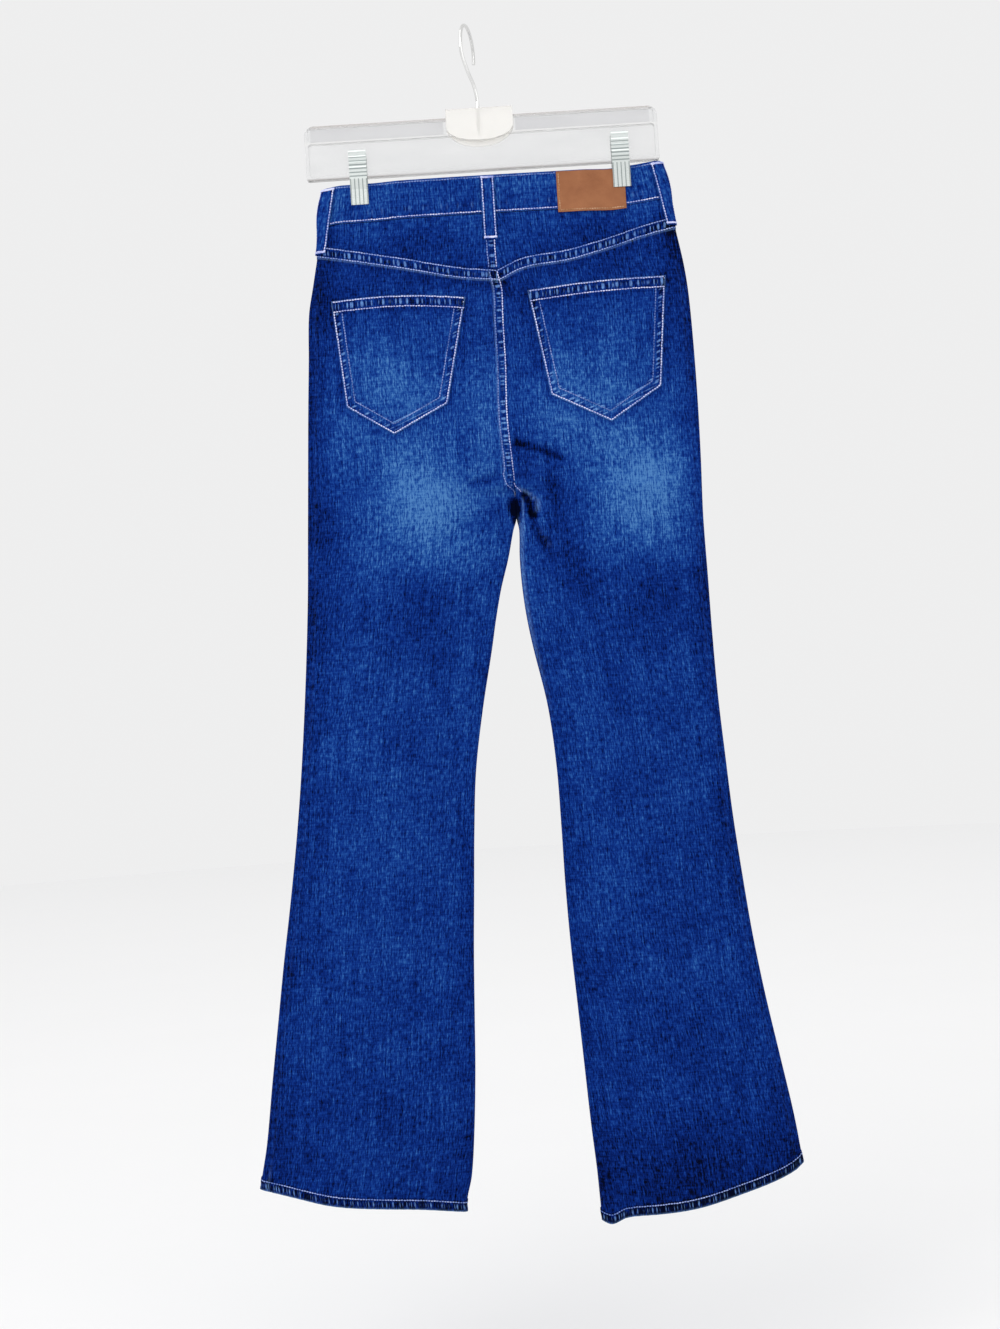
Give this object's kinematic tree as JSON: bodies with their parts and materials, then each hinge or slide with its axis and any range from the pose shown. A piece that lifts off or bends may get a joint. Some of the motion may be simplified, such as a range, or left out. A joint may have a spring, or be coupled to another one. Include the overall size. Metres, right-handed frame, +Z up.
{
  "type": "flared jeans on a clip hanger",
  "caption": "High-waisted flared denim jeans hung flat by the waistband from a clear clip hanger with a wire hook.",
  "frame": {"origin": "underside of the hook's crown, where the hanger rests on a rail", "axes": "+Z up, +X to the right as the back of the jeans is looked at, the back of the jeans faces -Y"},
  "size_m": [0.6258, 0.058, 1.3846],
  "materials": {
    "denim": "medium blue twill denim, washed lighter at the seat",
    "leather": "smooth brown leather, semi-matt",
    "clear_plastic": "clear glossy polystyrene",
    "steel": "bright zinc-plated steel",
    "button_metal": "antique copper"
  },
  "bodies": {
    "root": {"back_panel_left": "denim", "back_panel_right": "denim", "front_panel_left": "denim", "front_panel_right": "denim", "yoke_left": "denim", "yoke_right": "denim", "pocket_facing_left": "denim", "pocket_facing_right": "denim", "waistband": "denim", "back_pocket_left": "denim", "back_pocket_right": "denim", "fly": "denim", "patch": "leather", "belt_loop_back": "denim", "belt_loop_side_left": "denim", "belt_loop_side_right": "denim", "belt_loop_front_left": "denim", "belt_loop_front_right": "denim", "waist_button": "button_metal", "hanger_bar": "clear_plastic", "hanger_hook": "steel", "clip_left_back": "steel", "clip_left_front": "steel", "clip_left_spring": "steel", "clip_right_back": "steel", "clip_right_front": "steel", "clip_right_spring": "steel"}
  },
  "joints": []
}
